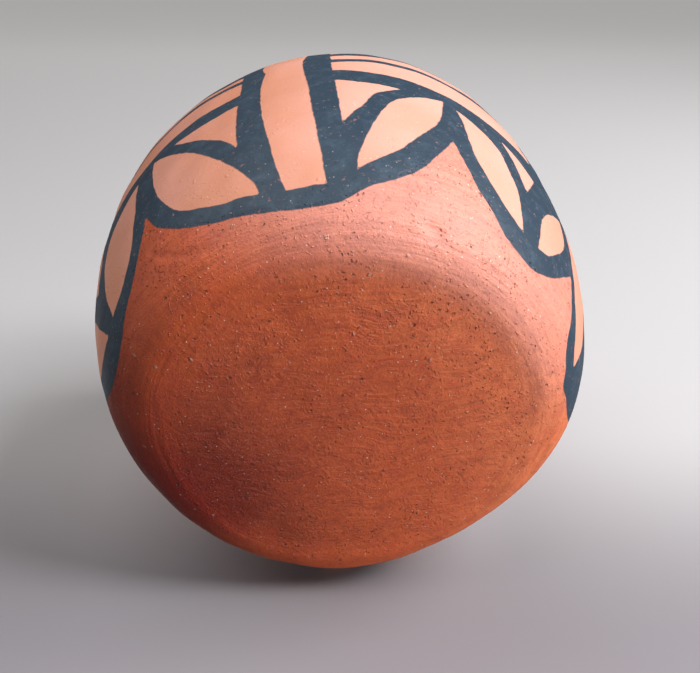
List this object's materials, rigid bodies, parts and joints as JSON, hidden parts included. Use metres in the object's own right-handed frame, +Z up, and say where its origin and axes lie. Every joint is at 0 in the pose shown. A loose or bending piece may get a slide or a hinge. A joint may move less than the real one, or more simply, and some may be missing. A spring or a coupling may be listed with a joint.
{
  "type": "pottery jar",
  "caption": "Small round jar of red earthenware, built of a pressed base dish and lapped clay coils, with a flat foot and a short flared rim, painted with a black geometric band.",
  "frame": {"origin": "centre of the flat foot, on the plane that the pot stands on", "axes": "+Z up the pot's axis, out through the mouth; -Y is the side that the picture shows, seen from below"},
  "size_m": [0.0811, 0.0798, 0.077],
  "materials": {
    "bare_clay": "matt",
    "slipped_clay": "satin"
  },
  "bodies": {
    "root": {"base_dish": "bare_clay", "heel_coil": "slipped_clay", "lower_wall_coil": "slipped_clay", "belly_coil": "slipped_clay", "upper_belly_coil": "slipped_clay", "shoulder_coil": "slipped_clay", "neck_coil": "slipped_clay", "rim_coil": "slipped_clay"}
  },
  "joints": []
}
